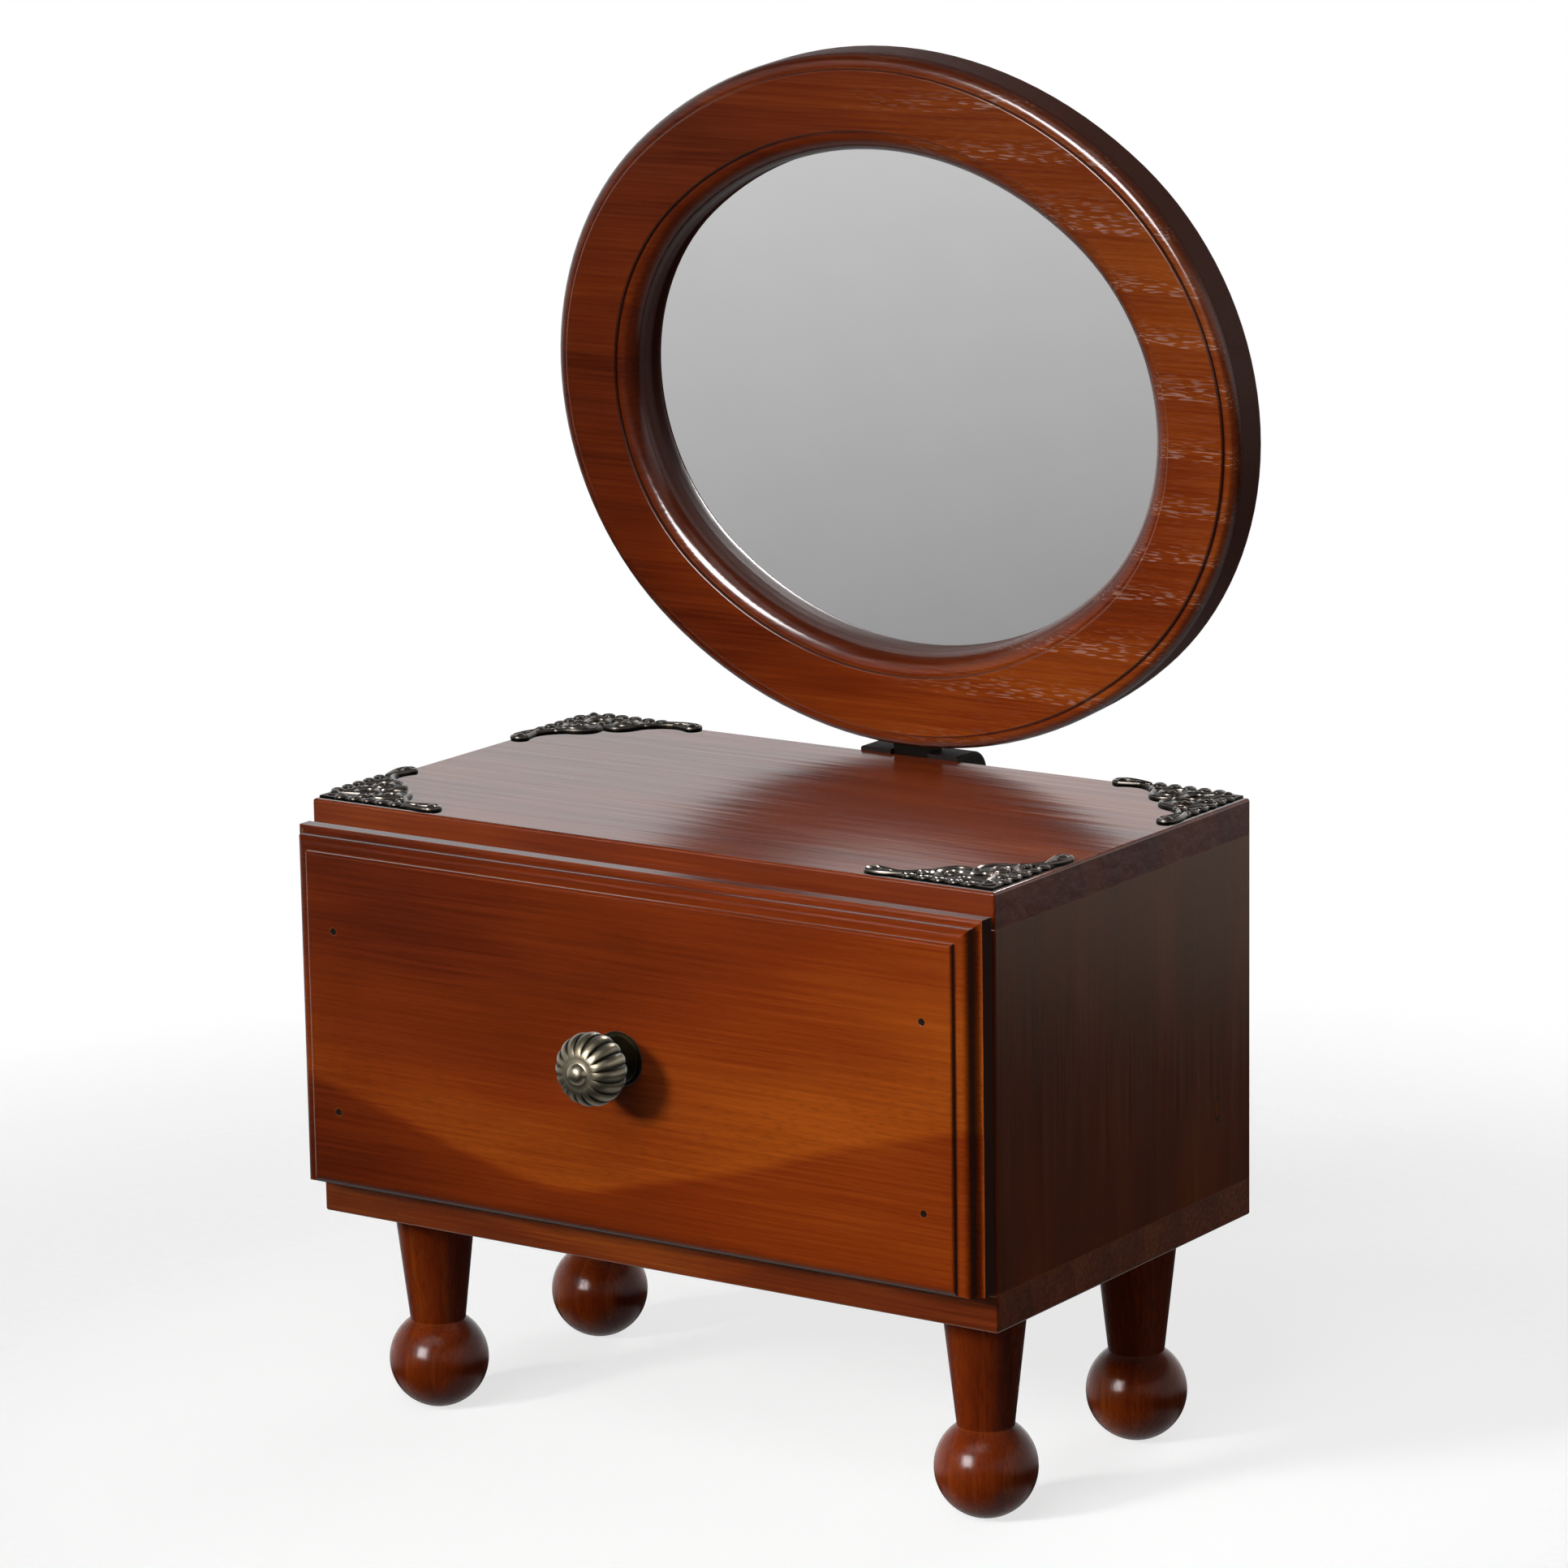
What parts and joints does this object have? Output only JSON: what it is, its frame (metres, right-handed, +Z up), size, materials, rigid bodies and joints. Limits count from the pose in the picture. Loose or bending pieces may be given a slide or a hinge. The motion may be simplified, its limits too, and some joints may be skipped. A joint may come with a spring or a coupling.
{
  "type": "vanity mirror",
  "caption": "Small wooden vanity box on turned ball-foot legs, with a pull-out drawer and an oval mirror that tilts on a post behind the top.",
  "frame": {"origin": "on the floor under the feet, at the middle of the overall width and depth", "axes": "+Z up, -Y out of the drawer front, +X to the right as seen from the front"},
  "size_m": [0.203, 0.1606, 0.3399],
  "materials": {
    "stained_hardwood": "gloss lacquer",
    "drawer_box_wood": "bare, sanded",
    "dowel_wood": "bare",
    "backing_board": "matt",
    "antique_brass": "antiqued",
    "plated_steel": "plated",
    "dark_steel": "blackened",
    "silvered_glass": "polished"
  },
  "bodies": {
    "carcass": {"top_panel": "stained_hardwood", "bottom_panel": "stained_hardwood", "left_side_panel": "stained_hardwood", "right_side_panel": "stained_hardwood", "back_panel": "stained_hardwood", "support_post": "stained_hardwood", "leg_front_left": "stained_hardwood", "leg_front_right": "stained_hardwood", "leg_rear_left": "stained_hardwood", "leg_rear_right": "stained_hardwood", "corner_ornament_front_left": "antique_brass", "corner_ornament_front_right": "antique_brass", "corner_ornament_rear_left": "antique_brass", "corner_ornament_rear_right": "antique_brass", "panel_dowels": "dowel_wood", "leg_dowels": "dowel_wood", "ornament_pins": "antique_brass", "post_screws": "plated_steel", "pivot_bolt": "antique_brass", "pivot_washers": "antique_brass", "pivot_thumb_nut": "antique_brass"},
    "drawer": {"drawer_front": "stained_hardwood", "drawer_left_side": "drawer_box_wood", "drawer_right_side": "drawer_box_wood", "drawer_back": "drawer_box_wood", "drawer_bottom": "drawer_box_wood", "front_brads": "dark_steel", "drawer_knob": "antique_brass", "knob_screw": "plated_steel"},
    "mirror": {"mirror_frame": "stained_hardwood", "mirror_glass": "silvered_glass", "mirror_backing": "backing_board", "backing_clips": "plated_steel", "clip_screws": "plated_steel", "mirror_tongue": "dark_steel", "tongue_screws": "plated_steel"}
  },
  "joints": [
    {"name": "drawer_slide", "type": "slide", "parent": "carcass", "child": "drawer", "axis": [0, -1, 0], "range_m": [0, 0.085]},
    {"name": "mirror_tilt", "type": "hinge", "parent": "carcass", "child": "mirror", "pos_m": [0, 0.07135, 0.1511], "axis": [-1, 0, 0], "range_deg": [-6, 25]}
  ]
}
